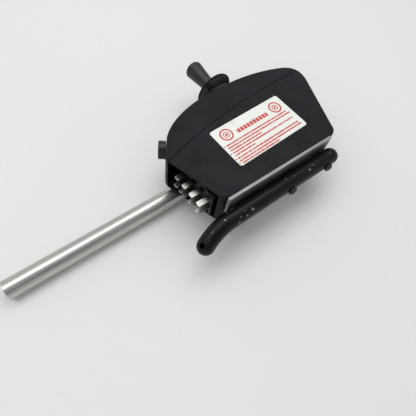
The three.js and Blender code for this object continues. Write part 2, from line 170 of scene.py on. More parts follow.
def rounded(corners, closed=False, steps=6):
    """A polyline of (x, y) or (x, y, radius) corners, each radius made an arc."""
    line = []
    count = len(corners)
    for i, (x, y, *radius) in enumerate(corners):
        if not radius or (not closed and i in (0, count - 1)):
            line.append((x, y))
            continue
        corner = Vector((x, y))
        before = Vector(corners[i - 1][:2]) - corner
        after = Vector(corners[(i + 1) % count][:2]) - corner
        half = before.angle(after) / 2
        reach = min(radius[0] / math.tan(half), 0.48 * before.length, 0.48 * after.length)
        size = reach * math.tan(half)
        middle = corner + (before.normalized() + after.normalized()).normalized() * (size / math.sin(half))
        first = corner + before.normalized() * reach - middle
        turn = first.angle_signed(corner + after.normalized() * reach - middle)
        for k in range(steps + 1):
            spoke = first.copy()
            spoke.rotate(Matrix.Rotation(-turn * k / steps, 2))
            line.append(tuple(middle + spoke))
    return line


def curve(corners, steps=16):
    """Points of a cubic curve through its four control points, without its first point."""
    a, b, c, d = (Vector(corner) for corner in corners)
    points = []
    for k in range(1, steps + 1):
        t = k / steps
        s = 1 - t
        points.append(tuple(a * s**3 + b * 3 * s * s * t + c * 3 * s * t * t + d * t**3))
    return points


def inset(points, distance):
    """A closed outline moved inwards, each side parallel to the old one."""
    moved = []
    for i, point in enumerate(points):
        here = Vector(point)
        before = here - Vector(points[i - 1])
        after = Vector(points[(i + 1) % len(points)]) - here
        first = Vector((-before.y, before.x)).normalized()
        second = Vector((-after.y, after.x)).normalized()
        middle = (first + second).normalized()
        moved.append(tuple(here + middle * (distance / middle.dot(first))))
    return moved


def soft_slab(outline, low, high, radius):
    """An outline run along z, with round edges at both ends."""
    steps = 8
    angles = [math.pi / 2 * k / steps for k in range(steps + 1)]
    levels = [(low + radius * (1 - math.cos(a)), radius * (1 - math.sin(a))) for a in angles]
    levels += [(high + low - z, distance) for z, distance in reversed(levels)]
    points, rings = [], []
    for z, distance in levels:
        rings.append(list(range(len(points), len(points) + len(outline))))
        points += [Vector((x, y, z)) for x, y in inset(outline, distance)]
    return solid(points, [tuple(rings[0]), tuple(rings[-1]), *rings_skin(rings)])


def swept(stations):
    """A round bar through (centre, direction, radius) stations, pointed where the radius is 0."""
    sides = 64
    points, rings = [], []
    for centre, direction, radius in stations:
        if radius == 0:
            rings.append([len(points)] * sides)
            points.append(centre)
            continue
        side = (UP - direction * UP.dot(direction)).normalized()
        other = direction.cross(side)
        rings.append(list(range(len(points), len(points) + sides)))
        for k in range(sides):
            angle = 2 * math.pi * k / sides
            points.append(centre + (side * math.cos(angle) + other * math.sin(angle)) * radius)
    return solid(points, rings_skin(rings))


def place(origin, direction):
    """A place with its z axis along a direction."""
    return Matrix.Translation(Vector(origin)) @ direction.to_track_quat("Z", "Y").to_matrix().to_4x4()


def applied(piece):
    """The piece's modifiers become its mesh."""
    shown = piece.evaluated_get(bpy.context.evaluated_depsgraph_get())
    piece.data = bpy.data.meshes.new_from_object(shown)
    piece.modifiers.clear()
    return piece


def combined(piece, operation, tools):
    for tool in tools:
        step = piece.modifiers.new(operation, "BOOLEAN")
        step.operation = operation
        step.solver = "EXACT"
        step.object = tool
    applied(piece)
    for tool in tools:
        bpy.data.objects.remove(tool)
    return piece


def cut(piece, *tools):
    return combined(piece, "DIFFERENCE", tools)


def join(piece, *tools):
    return combined(piece, "UNION", tools)


def meet(piece, *tools):
    return combined(piece, "INTERSECT", tools)


def finish_piece(piece, node, look, soften):
    """Softens the edges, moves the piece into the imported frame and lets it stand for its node."""
    if soften:
        step = piece.modifiers.new("soften", "BEVEL")
        step.width = soften
        step.segments = 3
        step.limit_method = "ANGLE"
        step.angle_limit = SHARP_CORNER
        step.use_clamp_overlap = True
        applied(piece)
    mesh = piece.data
    mesh.transform(Matrix.Translation(HOME) @ Matrix.Scale(MM, 4))
    mesh.polygons.foreach_set("use_smooth", [True] * len(mesh.polygons))
    mesh.set_sharp_from_angle(angle=SHARP_CORNER)
    even = piece.modifiers.new("even", "WEIGHTED_NORMAL")
    even.keep_sharp = True
    even.weight = 100
    piece.name = f"{node}_shape"
    mesh.name = piece.name
    mesh.materials.clear()
    mesh.materials.append(look)
    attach(piece, BODY_OF[node])
    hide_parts(node)
    return piece


# ---------------------------------------------------------------- materials

def wire(tree, kind, inputs=None, **settings):
    """A shader node; an input is a value or another node's output."""
    made = tree.nodes.new(f"ShaderNode{kind}")
    for name, value in settings.items():
        setattr(made, name, value)
    for name, value in (inputs or {}).items():
        socket = made.inputs[name]
        if isinstance(value, bpy.types.NodeSocket):
            tree.links.new(value, socket)
        else:
            socket.default_value = value
    return made


def noise(tree, where, scale, detail=3.0, rough=0.55):
    inputs = {"Vector": where, "Scale": scale, "Detail": detail, "Roughness": rough}
    return wire(tree, "TexNoise", inputs).outputs["Fac"]


def ramp(tree, value, low, high, start=0.0, end=1.0):
    """A value between low and high, spread smoothly from start to end."""
    inputs = {"Value": value, "From Min": low, "From Max": high, "To Min": start, "To Max": end}
    return wire(tree, "MapRange", inputs, interpolation_type="SMOOTHSTEP").outputs["Result"]


def mix(tree, share, first, second):
    """A colour that goes from the first to the second as the share goes from 0 to 1."""
    made = wire(tree, "Mix", data_type="RGBA")
    for name, value in (("Factor", share), ("A", first), ("B", second)):
        kind = "VALUE" if name == "Factor" else "RGBA"
        socket = next(s for s in made.inputs if s.name == name and s.type == kind)
        if isinstance(value, bpy.types.NodeSocket):
            tree.links.new(value, socket)
        else:
            socket.default_value = value if name == "Factor" else (*value, 1)
    return next(s for s in made.outputs if s.type == "RGBA")


def math_node(tree, operation, first, second=0.0):
    return wire(tree, "Math", {0: first, 1: second}, operation=operation).outputs[0]


def bump(tree, height, distance):
    inputs = {"Height": height, "Distance": distance, "Strength": 1.0}
    return wire(tree, "Bump", inputs).outputs["Normal"]


class Look:
    """A material being built: its tree, its main shader and its coordinates."""

    def __init__(self, name, metallic=0.0, **sockets):
        self.material = bpy.data.materials.new(name)
        self.material.use_nodes = True
        self.tree = self.material.node_tree
        self.shader = self.tree.nodes["Principled BSDF"]
        self.where = wire(self.tree, "TexCoord").outputs["Object"]
        self.shader.inputs["Metallic"].default_value = metallic
        for socket, value in sockets.items():
            self.shader.inputs[socket.replace("_", " ")].default_value = value

    def stretched(self, x, y, z):
        return wire(self.tree, "Mapping", {"Vector": self.where, "Scale": (x, y, z)}).outputs["Vector"]

    def link(self, socket, value):
        self.tree.links.new(value, self.shader.inputs[socket])


def moulded(name, colour, rough, sheen=0.3, height=0.00002, dust=0.15):
    """Moulded plastic: a fine grain, uneven sheen and a few specks of dust."""
    look = Look(name, Specular_IOR_Level=sheen)
    tree = look.tree
    cloud = noise(tree, look.where, 18, 4)
    lighter = tuple(c * 1.35 + 0.001 for c in colour)
    base = mix(tree, ramp(tree, cloud, 0.35, 0.7), colour, lighter)
    specks = noise(tree, look.where, 900, 1)
    dusty = math_node(tree, "MULTIPLY", ramp(tree, specks, 0.73, 0.8), dust)
    look.link("Base Color", mix(tree, dusty, base, (0.35, 0.35, 0.34)))
    look.link("Roughness", ramp(tree, noise(tree, look.where, 45, 3), 0.3, 0.75, rough - 0.06, rough + 0.08))
    look.link("Normal", bump(tree, noise(tree, look.where, 2000, 2), height))
    return look.material


def rubber(name):
    look = Look(name, Specular_IOR_Level=0.4)
    tree = look.tree
    cloud = noise(tree, look.where, 60, 5)
    dark, pale = (0.008, 0.009, 0.010), (0.018, 0.019, 0.021)
    look.link("Base Color", mix(tree, ramp(tree, cloud, 0.4, 0.75), dark, pale))
    look.link("Roughness", ramp(tree, cloud, 0.3, 0.7, 0.3, 0.45))
    look.link("Normal", bump(tree, noise(tree, look.where, 1500, 2), 0.00002))
    return look.material


def near(tree, where, point, radius):
    """1 at a point, falling to 0 at a radius."""
    offset = wire(tree, "VectorMath", {0: where, 1: point}, operation="DISTANCE").outputs["Value"]
    return ramp(tree, offset, radius, 0.0)


def painted_arm(scuffs_and_highlight):
    """Semi-gloss black paint with a little orange peel, knocks down to pale filler, and one pale patch on the
    top of the bend that is a painted highlight.
    """
    look = Look("arm_paint", Specular_IOR_Level=0.15, Coat_Weight=0.14, Coat_Roughness=0.14)
    tree = look.tree
    cloud = noise(tree, look.where, 30, 4)
    base = mix(tree, ramp(tree, cloud, 0.35, 0.7), (0.0012, 0.0016, 0.0026), (0.0035, 0.0042, 0.006))
    ragged = noise(tree, look.stretched(300, 900, 900), 1, 4, 0.72)
    # Chipped paint scattered over the arm.
    wear_and_root_shade = ramp(tree, noise(tree, look.stretched(110, 360, 360), 1, 3, 0.65), 0.672, 0.7)
    sparse = ramp(tree, noise(tree, look.where, 26, 2), 0.5, 0.62)
    chips_and_highlight = math_node(tree, "MULTIPLY", wear_and_root_shade, sparse)
    # Listed pale patches: chipped paint, except the one on the top of the bend, which is a painted highlight.
    for point, radius in scuffs_and_highlight:
        spot = math_node(tree, "MULTIPLY", near(tree, look.where, point, radius), ragged)
        chips_and_highlight = math_node(tree, "MAXIMUM", chips_and_highlight, ramp(tree, spot, 0.44, 0.5))
    yellowed = ramp(tree, noise(tree, look.where, 90, 2), 0.4, 0.6)
    tint = mix(tree, yellowed, (0.27, 0.24, 0.16), (0.3, 0.3, 0.29))
    look.link("Base Color", mix(tree, chips_and_highlight, base, tint))
    look.link("Roughness", ramp(tree, noise(tree, look.where, 70, 4), 0.3, 0.7, 0.3, 0.46))
    peel = noise(tree, look.where, 260, 2)
    height = math_node(tree, "SUBTRACT", peel, math_node(tree, "MULTIPLY", chips_and_highlight, 1.5))
    look.link("Normal", bump(tree, height, 0.00006))
    return look.material


def drawn_metal(name, colour, rough, stretch=(8, 900, 900), stain=0.25):
    """Metal with fine lines along x, dull patches and small dark marks."""
    look = Look(name, metallic=1.0)
    tree = look.tree
    lines = noise(tree, look.stretched(*stretch), 1, 4, 0.6)
    patches = noise(tree, look.where, 25, 5, 0.65)
    darker = tuple(c * 0.72 for c in colour)
    base = mix(tree, ramp(tree, lines, 0.35, 0.65), darker, colour)
    base = mix(tree, math_node(tree, "MULTIPLY", ramp(tree, patches, 0.45, 0.75), stain), base, darker)
    marks = ramp(tree, noise(tree, look.stretched(260, 700, 700), 1, 3), 0.68, 0.74)
    look.link("Base Color", mix(tree, math_node(tree, "MULTIPLY", marks, 0.6), base, (0.08, 0.08, 0.08)))
    dull = ramp(tree, patches, 0.3, 0.7, -0.05, 0.08)
    grooved = ramp(tree, lines, 0.3, 0.7, rough, rough + 0.08)
    look.link("Roughness", math_node(tree, "ADD", dull, grooved))
    look.link("Normal", bump(tree, lines, 0.00001))
    return look.material


def plated(name, colour, rough, tarnish, metallic=1.0):
    """Plated metal, brushed at random, with darker tarnish."""
    look = Look(name, metallic=metallic)
    tree = look.tree
    cloud = noise(tree, look.where, 240, 4, 0.65)
    look.link("Base Color", mix(tree, ramp(tree, cloud, 0.4, 0.7), colour, tarnish))
    look.link("Roughness", ramp(tree, cloud, 0.3, 0.7, rough, rough + 0.15))
    look.link("Normal", bump(tree, noise(tree, look.stretched(300, 1500, 1500), 1, 2), 0.00001))
    return look.material


def blade_metal():
    """Tinned brass tabs, brushed along their length, with small dark spots; pale at the tip and darkened
    towards the root with painted shade.
    """
    look = Look("tinned_brass", metallic=1.0)
    tree = look.tree
    along = wire(tree, "SeparateXYZ", {"Vector": look.where}).outputs["X"]
    tip, root = at(-23, 0, 0).x, at(-8, 0, 0).x
    # Painted shade: the tab darkens from its tip towards its root, where it sits in shade inside the
    # connector.
    wear_and_root_shade = ramp(tree, along, tip, root)
    lines = noise(tree, look.stretched(60, 2200, 2200), 1, 4, 0.6)
    base = mix(tree, ramp(tree, lines, 0.3, 0.7), (0.34, 0.33, 0.30), (0.46, 0.45, 0.42))
    base = mix(tree, wear_and_root_shade, base, (0.07, 0.064, 0.055))
    spots = ramp(tree, noise(tree, look.where, 700, 3), 0.62, 0.7, 0.0, 0.5)
    look.link("Base Color", mix(tree, spots, base, (0.16, 0.14, 0.11)))
    look.link("Roughness", ramp(tree, lines, 0.3, 0.7, 0.26, 0.38))
    look.link("Normal", bump(tree, lines, 0.00001))
    return look.material


def circuit_board():
    """Green solder mask with paler tracks."""
    look = Look("board_green", Specular_IOR_Level=0.5)
    tree = look.tree
    inputs = {"Vector": look.where, "Scale": 160.0, "Mortar Size": 0.03}
    tracks = wire(tree, "TexBrick", inputs).outputs["Fac"]
    look.link("Base Color", mix(tree, tracks, (0.02, 0.11, 0.05), (0.05, 0.2, 0.1)))
    look.link("Roughness", ramp(tree, noise(tree, look.where, 90), 0.3, 0.7, 0.3, 0.45))
    return look.material


def ribbed_cable():
    look = Look("ribbon")
    tree = look.tree
    wave = wire(tree, "TexWave", {"Vector": look.where, "Scale": 250.0}, bands_direction="Z").outputs["Fac"]
    look.link("Base Color", mix(tree, wave, (0.25, 0.26, 0.27), (0.4, 0.41, 0.42)))
    look.link("Normal", bump(tree, wave, 0.0002))
    look.shader.inputs["Roughness"].default_value = 0.5
    return look.material


def smoked_lens():
    look = Look("lens", Specular_IOR_Level=0.6, Coat_Weight=0.6, Coat_Roughness=0.05)
    tree = look.tree
    wave = wire(tree, "TexWave", {"Vector": look.where, "Scale": 120.0}, bands_direction="X").outputs["Fac"]
    segments = ramp(tree, wave, 0.75, 0.85)
    look.link("Base Color", mix(tree, segments, (0.012, 0.014, 0.016), (0.05, 0.055, 0.06)))
    look.link("Roughness", ramp(tree, noise(tree, look.where, 80), 0.3, 0.7, 0.08, 0.18))
    return look.material


# Print on the label, in millimetres from its middle: rings (x, y, radius) and text-like rows
# (left, right, y, height). A row is a broken bar that spells nothing.
PRINT_RINGS = [(-36.0, 13.7, 7.9), (36.2, 12.7, 7.9)]
PRINT_STROKE = 1.9
# Inside each ring and beside the rows, as (distance from the middle, half width).
PRINT_INNER_RING = (3.4, 0.55)
PRINT_RING_DOT = (0.0, 1.7)
PRINT_ROW_DOT = (0.0, 0.9)
PRINT_HEADING = (-24.0, 22.0, 10.6, 5.2)
PRINT_HEADING_STEP = 4.6
PRINT_ROW_HEIGHT = 1.9
PRINT_ROWS = [
    (-46.5, 43.0, 2.0), (-46.5, 46.0, -1.6), (-46.5, -2.0, -5.2), (-46.5, 43.5, -8.8), (-46.5, -18.0, -12.4),
    (-46.5, 44.0, -16.6), (-46.5, 46.0, -20.2), (-45.5, 8.0, -23.5),
]
PRINT_DOTS = [(-48.7, 2.1), (-48.7, -8.8), (-48.7, -16.6)]


def printed_label(turn):
    """Off-white label with a generic red print: two rings, a barred heading and broken rows."""
    look = Look("label", Specular_IOR_Level=0.5, Coat_Weight=0.2, Coat_Roughness=0.25)
    tree = look.tree
    low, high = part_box("label")
    inputs = {"Vector": look.where, "Location": (low + high) / 2, "Rotation": (0, 0, turn),
              "Scale": (MM, MM, MM)}
    local = wire(tree, "Mapping", inputs, vector_type="TEXTURE").outputs["Vector"]
    parts = wire(tree, "SeparateXYZ", {"Vector": local}).outputs
    across, up = parts["X"], parts["Y"]
    words = wire(tree, "CombineXYZ", {"X": math_node(tree, "MULTIPLY", across, 0.3),
                                      "Y": math_node(tree, "MULTIPLY", up, 0.85)}).outputs["Vector"]
    gaps = ramp(tree, noise(tree, words, 1.3, 2), 0.38, 0.42)

    def band(value, centre, half):
        offset = math_node(tree, "ABSOLUTE", math_node(tree, "SUBTRACT", value, centre))
        return ramp(tree, offset, half + 0.12, half - 0.12)

    def bar(left, right, y, height):
        column = band(across, (left + right) / 2, (right - left) / 2)
        return math_node(tree, "MULTIPLY", column, band(up, y, height / 2))

    def distance_to(x, y):
        offset = wire(tree, "CombineXYZ", {"X": math_node(tree, "SUBTRACT", across, x),
                                           "Y": math_node(tree, "SUBTRACT", up, y)}).outputs["Vector"]
        return wire(tree, "VectorMath", {0: offset}, operation="LENGTH").outputs["Value"]

    ink = None
    for left, right, y in PRINT_ROWS:
        row = bar(left, right, y, PRINT_ROW_HEIGHT)
        ink = row if ink is None else math_node(tree, "MAXIMUM", ink, row)
    ink = math_node(tree, "MULTIPLY", ink, gaps)
    step = math_node(tree, "PINGPONG", across, PRINT_HEADING_STEP / 2)
    blocks = ramp(tree, step, 0.25, 0.6)
    heading = math_node(tree, "MULTIPLY", bar(*PRINT_HEADING), blocks)
    ink = math_node(tree, "MAXIMUM", ink, heading)
    marks = []
    for x, y, radius in PRINT_RINGS:
        outer_ring = (radius - PRINT_STROKE / 2, PRINT_STROKE / 2)
        marks += [(x, y, *ring) for ring in (outer_ring, PRINT_INNER_RING, PRINT_RING_DOT)]
    marks += [(x, y, *PRINT_ROW_DOT) for x, y in PRINT_DOTS]
    for x, y, reach, half in marks:
        ink = math_node(tree, "MAXIMUM", ink, band(distance_to(x, y), reach, half))
    faded = ramp(tree, noise(tree, look.where, 500, 3), 0.3, 0.55, 0.85, 1.0)
    stain = ramp(tree, noise(tree, look.where, 40, 4), 0.5, 0.8)
    paper = mix(tree, stain, (0.87, 0.88, 0.81), (0.76, 0.76, 0.66))
    corner = near(tree, local, (-48.0, -24.0, 0), 10.0)
    grime = math_node(tree, "MULTIPLY", corner, ramp(tree, noise(tree, look.where, 220, 4), 0.4, 0.6))
    paper = mix(tree, grime, paper, (0.5, 0.44, 0.28))
    rubbed = near(tree, local, (2.0, 12.0, 0), 4.0)
    scratch = math_node(tree, "MULTIPLY", rubbed, ramp(tree, noise(tree, look.where, 700, 3), 0.5, 0.56))
    printed = mix(tree, math_node(tree, "MULTIPLY", ink, faded), paper, (0.62, 0.018, 0.026))
    look.link("Base Color", mix(tree, scratch, printed, (0.03, 0.03, 0.03)))
    look.link("Roughness", ramp(tree, noise(tree, look.where, 60, 3), 0.3, 0.7, 0.32, 0.48))
    look.link("Normal", bump(tree, noise(tree, look.where, 120, 3), 0.00005))
    return look.material


# ---------------------------------------------------------------- housing

def housing_outline():
    """Foot, leaning far wall, shoulder, dome, dial facet, connector end."""
    outline = [(1, 0), (147, 0)]
    outline += curve([(147, 0), (154, 0.5), (158.5, 3), (160.3, 10)])
    outline.append((187, 79))
    outline += curve([(187, 79), (191.5, 92), (189, 105), (172, 111)])
    outline += curve([(172, 111), (150, 119), (125, 123), (99, 123)])
    outline += curve([(99, 123), (60, 123.5), (14.6, 116.4), (-7.2, 93.5)], 28)
    outline.append((-22.8, 72.4))
    outline += curve([(-22.8, 72.4), (-24.8, 69.7), (-25.3, 66.6), (-24.2, 63)], 10)
    outline.append((-7, 9))
    outline += curve([(-7, 9), (-5, 3), (-3, 0.5), (1, 0)], 10)[:-1]
    return outline


OUTLINE = housing_outline()
SKIRT = 9.0
FOOT_GAP = 0.3
TIE_SCREWS = [centre_of(f"tie_screw_{i}") for i in (1, 2)]
PIVOT = centre_of("gimbal_ring")
DIAL_TURN = math.radians(144.5)
DIAL_AXIS = Vector((math.cos(DIAL_TURN), math.sin(DIAL_TURN), 0))
DIAL_PLACE = place((-7.1, 92.9, MIDDLE), DIAL_AXIS)
DIAL_RADIUS = 10.1
DIAL_LIFT = 1.2
DIAL_HEIGHT = 8.2
PANEL_TURN = math.radians(-10.5)
PANEL = Matrix.Translation((142, 118.4, MIDDLE)) @ Matrix.Rotation(PANEL_TURN, 4, "Z")
PANEL_SIZE = Vector((36, 0, 26))
SCREW_HOLE = 2.3
SCREW_SINK = 4.2
WIDE_SCREW_HOLE = 3.3


def seam_side(side, offset):
    """Everything above or below the seam between the two shells."""
    corners = [(-32, 62.6), (30, 84.3), (110, 96), (197, 95.8)]
    seam = [(x, y + offset) for x, y in [corners[0], *curve(corners, 40)]]
    return prism([*seam, (200, side), (-40, side)], -60, 10)


def whole_housing():
    """Both shells as one solid, run on below the foot so that the foot's edge is cut square."""
    skirted = [(1, -SKIRT), (147, -SKIRT), *OUTLINE[1:], OUTLINE[0]]
    return soft_slab(skirted, -DEPTH, 0, EDGE)


def hollow():
    """The space inside the shells."""
    return prism(inset(OUTLINE, WALL), WALL - DEPTH, -WALL)


def upright(radius, low, high, x, z):
    """A rod along the housing's height."""
    return rod(radius, low, high, place((x, 0, z), UP))


def build_housing(look):
    upper = cut(meet(whole_housing(), seam_side(160, SEAM_GAP / 2)), hollow())
    half = PANEL_SIZE / 2 + Vector((0.3, 0, 0.3))
    opening = box((-half.x, -8, -half.z), (half.x, 8, half.z), PANEL)
    cut(upper, upright(17, 112, 130, PIVOT.x, MIDDLE), rod(4, -10, 6, DIAL_PLACE), opening)
    finish_piece(upper, "upper_cover", look, 0.3)

    lower = meet(whole_housing(), seam_side(-20, -SEAM_GAP / 2))
    skirt = box((-40, -20, -60), (200, FOOT_GAP, 10))
    floor_opening = box((6, -1, WALL - DEPTH), (140, 12, -WALL))
    cut(lower, skirt, hollow(), floor_opening)
    window = rounded([(1.6, 67), (1.6, 6.5, 1.5), (44.6, 6.5, 1.5), (44.6, 67)], closed=True)
    cut(lower, prism(window, -45, 8, ALONG_X))
    finish_piece(lower, "lower_housing", look, 0.3)


def build_plate(look):
    low, high = span("base_plate")
    body = box(low, high)
    holes = [upright(SCREW_HOLE, -4, 1, screw.x, screw.z) for screw in TIE_SCREWS]
    sinks = [upright(SCREW_SINK, -4, -1, screw.x, screw.z) for screw in TIE_SCREWS]
    arm_holes = [upright(WIDE_SCREW_HOLE, -5, 1, screw.x, screw.z) for screw in map(centre_of, ARM_SCREWS)]
    rail_holes = [upright(SCREW_HOLE, -5, 1, screw.x, screw.z) for screw in map(centre_of, RAIL_SCREWS)]
    finish_piece(cut(body, *holes, *sinks, *arm_holes, *rail_holes), "base_plate", look, 0.35)


def build_connector(block_look, blade_look):
    low, high = span("connector_block")
    body = box(low, high)
    pocket = box((low.x - 1, low.y + 2, low.z + 2), (low.x + 1.6, high.y - 2, high.z - 2))
    slots = []
    for name in BLADES:
        near_corner, far_corner = span(name)
        margin = Vector((0, 0.3, 0.3))
        slots.append(box(near_corner - margin - Vector((10, 0, 0)), far_corner + margin + Vector((10, 0, 0))))
    chamfer = [(3, 26), (3, 8), (9.4, 8), (5.2, 24)]
    cut(body, pocket, prism(chamfer, -15, 10, ALONG_X), *slots)
    finish_piece(body, "connector_block", block_look, 0.25)
    for name in BLADES:
        build_blade(name, blade_look)


def build_blade(name, look):
    """A flat tab whose tip narrows in width and in thickness."""
    low, high = span(name)
    slope = 1.2
    outline = [(high.x, low.y), (high.x, high.y), (low.x + slope, high.y), (low.x, high.y - slope),
               (low.x, low.y + slope), (low.x + slope, low.y)]
    finish_piece(prism(outline, low.z, high.z), name, look, 0.35)


def build_label(look):
    low, high = span("label")
    middle = (low + high) / 2
    width, height, corner = 100.6, 51.4, 3.0
    corners = [(-width / 2, -height / 2, corner), (width / 2, -height / 2, corner),
               (width / 2, height / 2, corner), (-width / 2, height / 2, corner)]
    spot = Matrix.Translation((middle.x, middle.y, 0)) @ Matrix.Rotation(LABEL_TURN, 4, "Z")
    finish_piece(prism(rounded(corners, closed=True), low.z, high.z, spot), "label", look, 0.08)


# ---------------------------------------------------------------- controls

# Where the raised line down the knob's side faces, about the stick.
RIDGE_TURN = math.radians(-118)


def build_stick(plastic, soft):
    axis = place((PIVOT.x, 0, MIDDLE), UP)
    low, high = span("joystick_knob")
    wide = (high.x - low.x) / 2
    narrow = 7.4
    profile = rounded([(0, low.y), (narrow, low.y, 0.6), (wide, high.y - 2.6, 2.2), (wide - 1.6, high.y, 1.8),
                       (0, high.y)])
    knob = turned(profile, axis)
    proud = 0.35
    flank = [(0, low.y + 2), (narrow + proud, low.y + 1), (wide + proud - 0.3, high.y - 6), (0, high.y - 6)]
    out = Matrix.Rotation(RIDGE_TURN, 4, "Y")
    ridge = prism(flank, -0.35, 0.35, Matrix.Translation((PIVOT.x, 0, MIDDLE)) @ out)
    bore = rod(3.5, 0, low.y + 18, axis)
    finish_piece(cut(join(knob, ridge), bore), "joystick_knob", plastic, 0.15)

    low, high = span("shroud")
    rim = (high.x - low.x) / 2
    bottom, top = low.y, high.y
    edge = bottom + 1.2
    skirt = rounded([(3.5, top), (7, top, 1.5), (14, edge + 3.8, 3), (20, edge + 1.8, 4), (rim, edge, 0.5),
                     (rim, bottom, 0.5), (rim - 1.8, bottom, 0.5), (19.6, edge + 0.2, 3),
                     (13.6, edge + 2.1, 3), (7, edge + 3.2, 1.5), (3.5, edge + 3.2)])
    finish_piece(turned(skirt, axis, 128), "shroud", soft, 0)

    low, high = span("boot")
    base = low.y
    folds = rounded([(14.6, base), (16.6, base), (16.6, base + 3.2), (21, base + 3.2, 0.3),
                     (21, base + 4.6, 0.5), (18.2, base + 5.2, 0.5), (19.6, base + 6.5, 0.6),
                     (16.8, base + 7.6, 0.5), (18.2, base + 8.8, 0.6), (15.8, base + 10, 0.4),
                     (14.6, base + 10)])
    finish_piece(turned(folds, axis), "boot", soft, 0)


def build_dial(plastic):
    radius, lift, height = DIAL_RADIUS, DIAL_LIFT, DIAL_HEIGHT
    top = lift + height
    profile = rounded([(0, lift), (radius - 0.1, lift, 0.4), (radius, top, 1.5), (radius - 2.4, top, 0.6),
                       (radius - 3.2, top - 0.8, 0.5), (0, top - 0.8)])
    knob = turned(profile, DIAL_PLACE)
    pointer = box((-0.5, 2, top - 1), (0.5, radius - 3.4, top - 0.3), DIAL_PLACE)
    recess = rod(6.4, lift - 1, lift + 2.4, DIAL_PLACE)
    bore = rod(1.9, lift - 1, top - 2, DIAL_PLACE)
    finish_piece(cut(join(knob, pointer), recess, bore), "speed_dial", plastic, 0.2)


def build_buttons(plastic, soft, lens):
    length, width = PANEL_SIZE.x / 2, PANEL_SIZE.z / 2
    corners = [(-length, -width, 2), (length, -width, 2), (length, width, 2), (-length, width, 2)]
    lying = PANEL @ Matrix.Rotation(math.radians(-90), 4, "X")
    face = prism(rounded(corners, closed=True), -4.5, 1.2, lying)
    flange = box((-length - 2.5, -width - 2, -6), (length + 2.5, width + 2, -4.4), lying)
    body = join(face, flange)
    spots = {"power_button": -10.5, "horn_button": 10.5}
    depth = 4.5
    holes = [rod(5, -10, 5, PANEL @ place((x, 0, depth), UP)) for x in spots.values()]
    gauge_opening = box((-9, 4.2, -10), (9, 9.4, 5), lying)
    finish_piece(cut(body, *holes, gauge_opening), "button_panel", plastic, 0.3)
    finish_piece(box((-8.7, 4.5, -5.8), (8.7, 9.1, 1.0), lying), "gauge_lens", lens, 0.4)
    cap = rounded([(0, -8), (6, -8, 0.3), (6, -6.6, 0.3), (4.6, -6.6), (4.6, 2.4, 0.8), (3.6, 3.1, 0.5),
                   (2.2, 2.7, 0.5), (0, 2.6)])
    for name, x in spots.items():
        look = plastic if name == "power_button" else soft
        finish_piece(turned(cap, PANEL @ place((x, 0, depth), UP)), name, look, 0)


# ---------------------------------------------------------------- arm, rail and tube

ARM_RADIUS = 9.5
ARM_SKIN = 9.44
ARM_BEND_RADIUS = 55.2
ARM_BEND = math.radians(37.2)
ARM_TURN = math.radians(29)
ARM_TAIL = 1.4
ARM_HOLE = 3.0
ARM_HOLE_DEPTH = 13.5
ARM_HOLE_LEAN = 0.2
TUBE_WALL = 1.6
TUBE_CLEARANCE = 0.25


def arm_path():
    """Centres and directions along the arm, from its far end to the end with the blind hole."""
    y = PLATE_CORNER.y - ARM_RADIUS - 0.3
    z = centre_of("arm_screw_1").z
    along = Vector((-1, 0, 0))
    aside = Vector((0, -math.sin(ARM_TURN), -math.cos(ARM_TURN)))
    start = Vector((-1.7, y, z))
    straight, steps = 40, 30
    end_x = 143
    path = [(Vector((end_x + (start.x - end_x) * k / straight, y, z)), along) for k in range(straight)]
    for k in range(steps + 1):
        angle = ARM_BEND * k / steps
        centre = start + along * ARM_BEND_RADIUS * math.sin(angle)
        centre += aside * ARM_BEND_RADIUS * (1 - math.cos(angle))
        path.append((centre, along * math.cos(angle) + aside * math.sin(angle)))
    centre, direction = path[-1]
    path.append((centre + direction * ARM_TAIL, direction))
    return path


def build_arm(look):
    path = arm_path()
    caps = 12
    stations = []
    for k in range(caps):
        angle = math.pi / 2 * (1 - k / caps)
        centre, direction = path[0]
        radius = ARM_SKIN * math.cos(angle) if k else 0
        stations.append((centre - direction * ARM_SKIN * math.sin(angle), direction, radius))
    stations += [(centre, direction, ARM_SKIN) for centre, direction in path]
    for k in range(1, caps + 1):
        angle = math.pi / 2 * k / caps
        centre, direction = path[-1]
        radius = ARM_SKIN * math.cos(angle) if k < caps else 0
        stations.append((centre + direction * ARM_SKIN * math.sin(angle), direction, radius))
    centre, direction = path[-1]
    out = Vector((0, ARM_HOLE_LEAN, 1))
    hole_axis = (out - direction * out.dot(direction)).normalized()
    eye = rod(ARM_HOLE, ARM_RADIUS - ARM_HOLE_DEPTH, 2 * ARM_RADIUS, place(centre, hole_axis))
    finish_piece(cut(swept(stations), eye), "support_arm", look, 0.5)


def build_screw(name, look, profile, socket_radius, socket, soften):
    """A turned screw with a six-sided socket; its profile is given from its lowest face up."""
    low, high = span(name)
    spot = place(((low.x + high.x) / 2, low.y, (low.z + high.z) / 2), UP)
    key = rod(socket_radius, *socket, spot, 6)
    finish_piece(cut(turned(rounded(profile), spot), key), name, look, soften)


